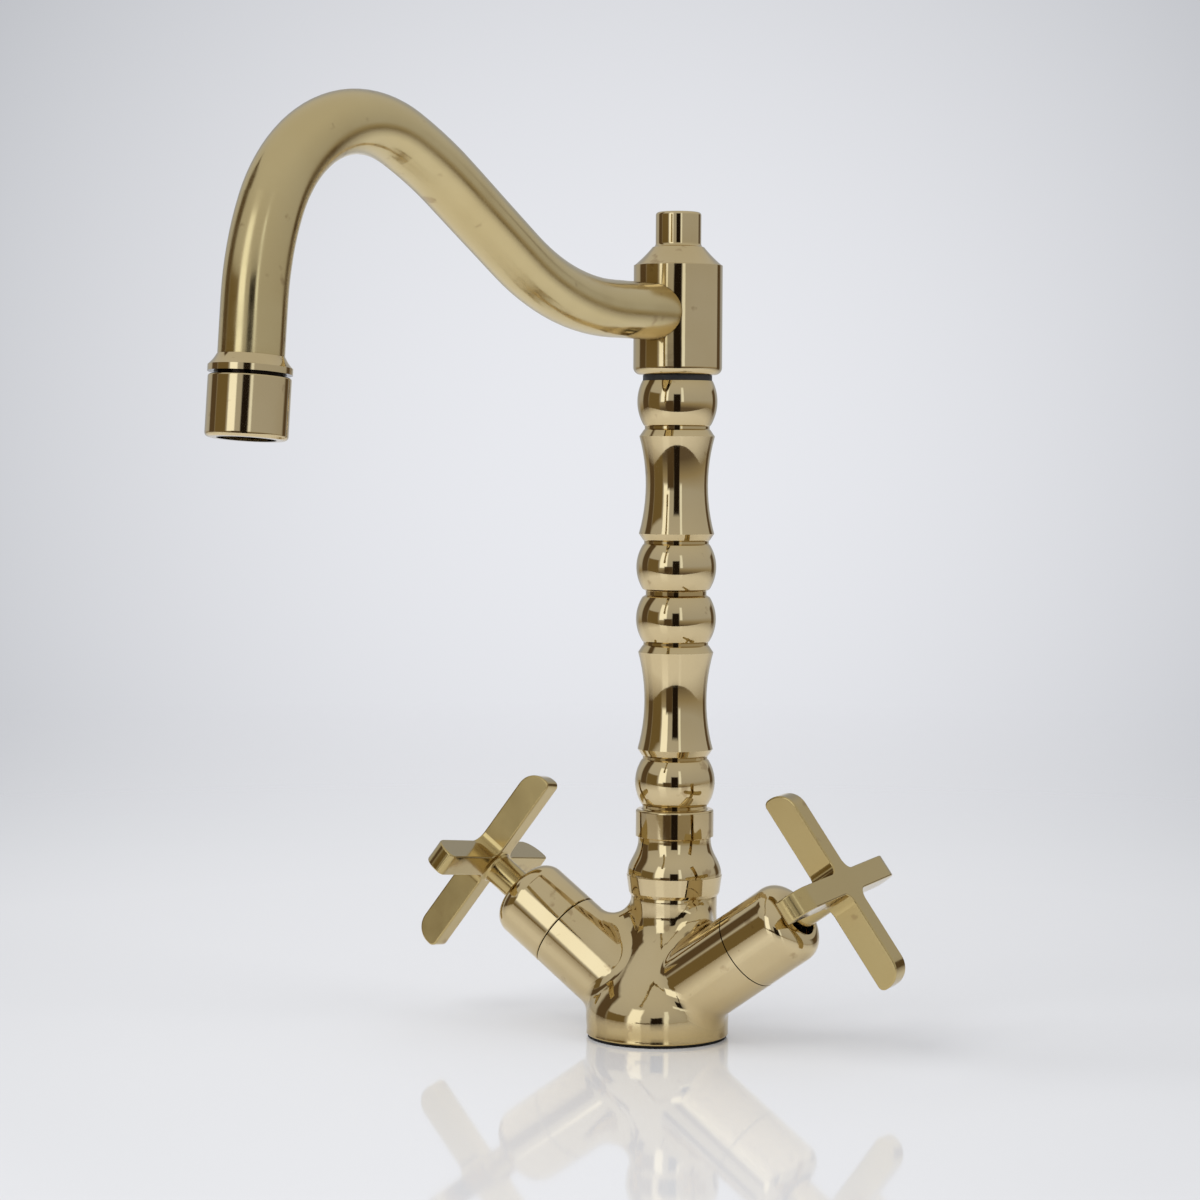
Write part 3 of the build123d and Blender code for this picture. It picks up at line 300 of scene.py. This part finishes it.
def brass(name, tone, rough, gaps):
    """Polished brass: cloudy tone, painted shade in the hollows, tarnish specks, painted shade in
    the gaps, wiping haze.
    """
    material, tree, shader = new_material(name)
    shader.inputs["Metallic"].default_value = 1.0
    cloud = ranged(tree, noise(tree, *CLOUD_NOISE), NOISE_BAND, (0.0, CLOUD_SHARE))
    toned = mixed(tree, cloud, tone, BRASS_DEEP_AND_SHADE)
    # Painted shade: deeper brass laid into the hollows where closeness is high
    hollow_shaded = mixed(tree, closeness(tree, *HOLLOW_SHADE), toned, BRASS_DEEP_AND_SHADE)
    specks = ranged(tree, noise(tree, *SPECK_NOISE), SPECK_BAND, (0.0, SPECK_SHARE))
    worn = mixed(tree, specks, hollow_shaded, TARNISH)
    # Painted shade: near black laid into the narrow gaps where closeness is high
    gap_shaded = mixed(tree, closeness(tree, *gaps), worn, GAP_SHADE_TONE)
    tree.links.new(gap_shaded, shader.inputs["Base Color"])
    haze = ranged(tree, noise(tree, *HAZE_NOISE), NOISE_BAND, rough)
    tree.links.new(haze, shader.inputs["Roughness"])
    bumped(tree, shader, noise(tree, *BRASS_RELIEF_NOISE), BRASS_RELIEF)
    return material


def plain(name, colour, rough, metallic, shine):
    """Plain moulded, lapped or machined surface with a slight mottle."""
    material, tree, shader = new_material(name)
    shader.inputs["Metallic"].default_value = metallic
    shader.inputs["Specular IOR Level"].default_value = shine
    darker = tuple(MOTTLE_SHADE * part for part in colour)
    mottle = ranged(tree, noise(tree, *MOTTLE_NOISE), NOISE_BAND, (0.0, 1.0))
    tree.links.new(mixed(tree, mottle, colour, darker), shader.inputs["Base Color"])
    roughness = ranged(tree, noise(tree, *ROUGH_NOISE), NOISE_BAND, rough)
    tree.links.new(roughness, shader.inputs["Roughness"])
    bumped(tree, shader, noise(tree, *PLAIN_RELIEF_NOISE), PLAIN_RELIEF)
    return material


def give_finishes():
    """Make the finishes and give each node that of its slot, or its own."""
    finishes = {name: brass(name, *look) for name, look in BRASS_FINISHES.items()}
    finishes.update({name: plain(name, *look) for name, look in PLAIN_FINISHES.items()})
    slots = {part["node"]: part["material_slot"] for part in frame["record"]["subparts"]}
    slots.update(NODE_FINISHES)
    for node, piece in frame["nodes"].items():
        piece.data.materials.clear()
        piece.data.materials.append(finishes[slots[node]])


# Table top, room, lamps and camera


def make_table():
    """Pale glossy table top that fades into the sweep behind it."""
    bpy.ops.mesh.primitive_circle_add(vertices=TABLE_SIDES, radius=TABLE_RADIUS, fill_type="NGON")
    table = bpy.context.object
    table.name = "table"
    table.location = (*(-TABLE_SHIFT * FRONT), cad_box[0][2])
    material, tree, shader = new_material("table")
    shader.inputs["Base Color"].default_value = (*TABLE, 1.0)
    shader.inputs["Roughness"].default_value = TABLE_ROUGHNESS
    shader.inputs["Specular IOR Level"].default_value = TABLE_SHINE
    place = add_node(tree, "ShaderNodeNewGeometry").outputs["Position"]
    distance = add_node(tree, "ShaderNodeVectorMath", operation="LENGTH")
    tree.links.new(place, distance.inputs[0])
    fade = ranged(tree, distance.outputs["Value"], TABLE_FADE, (0.0, 1.0))
    clear = add_node(tree, "ShaderNodeBsdfTransparent")
    blend = add_node(tree, "ShaderNodeMixShader")
    output = tree.nodes["Material Output"]
    tree.links.new(fade, blend.inputs["Fac"])
    tree.links.new(shader.outputs["BSDF"], blend.inputs[1])
    tree.links.new(clear.outputs["BSDF"], blend.inputs[2])
    tree.links.new(blend.outputs["Shader"], output.inputs["Surface"])
    table.data.materials.append(material)


def room_colour(tree, direction, near):
    """Colour of the mirrored room by direction, with the things in it."""
    height = along(tree, direction, UP)
    right = along(tree, direction, (-FRONT.y, FRONT.x, 0.0))
    bearing = combined(tree, "ARCTAN2", right, near)
    colour = ramp(tree, ranged(tree, height, (-1.0, 1.0), (0.0, 1.0)), ROOM_STOPS)
    for sides, heights, soft, thing in ROOM_THINGS:
        wide = between(tree, bearing, [radians(side) for side in sides], radians(soft))
        tall = between(tree, height, heights, HEIGHT_SOFTNESS)
        colour = mixed(tree, combined(tree, "MINIMUM", wide, tall), colour, thing)
    return colour


def make_room():
    """Pale sweep for the camera, sweep and room for the metal to mirror, even light for the rest."""
    world = bpy.data.worlds.new("studio")
    scene.world = world
    world.use_nodes = True
    tree = world.node_tree
    tree.nodes.clear()
    direction = add_node(tree, "ShaderNodeTexCoord").outputs["Generated"]
    near = along(tree, direction, (*FRONT, 0.0))
    sweep = ramp(tree, along(tree, direction, SWEEP_AXIS), SWEEP_STOPS)
    room = room_colour(tree, direction, near)
    around = mixed(tree, ranged(tree, near, ROOM_EDGE, (1.0, 0.0)), room, sweep)
    path = add_node(tree, "ShaderNodeLightPath").outputs
    mirrored = combined(tree, "MAXIMUM", path["Is Glossy Ray"], path["Is Transmission Ray"])
    lit = mixed(tree, mirrored, FILL, around)
    shown = mixed(tree, path["Is Camera Ray"], lit, sweep)
    background = add_node(tree, "ShaderNodeBackground")
    output = add_node(tree, "ShaderNodeOutputWorld")
    tree.links.new(shown, background.inputs["Color"])
    tree.links.new(background.outputs["Background"], output.inputs["Surface"])


def add_softbox(name, place, size, power):
    """Rectangular soft lamp that looks at the object and isn't mirrored."""
    light = bpy.data.lights.new(name, "AREA")
    light.shape = "RECTANGLE"
    light.size, light.size_y = size
    light.energy = power
    lamp = bpy.data.objects.new(name, light)
    lamp.visible_glossy = False
    scene.collection.objects.link(lamp)
    lamp.location = place
    lamp.rotation_euler = (LAMP_TARGET - Vector(place)).to_track_quat("-Z", "Y").to_euler()


def make_camera():
    """Camera at the photograph's place, angle and lens."""
    data = bpy.data.cameras.new("camera")
    data.lens = LENS_MM
    data.sensor_width = SENSOR_MM
    camera = bpy.data.objects.new("camera", data)
    scene.collection.objects.link(camera)
    back = CAMERA_RIGHT.cross(CAMERA_UP).normalized()
    up = back.cross(CAMERA_RIGHT).normalized()
    turn = Matrix((CAMERA_RIGHT.normalized(), up, back)).transposed()
    camera.matrix_world = Matrix.Translation(CAMERA_AT) @ turn.to_4x4()
    scene.camera = camera


give_finishes()
make_table()
make_room()
for softbox in SOFTBOXES:
    add_softbox(*softbox)
make_camera()
scene.view_settings.view_transform = "Standard"
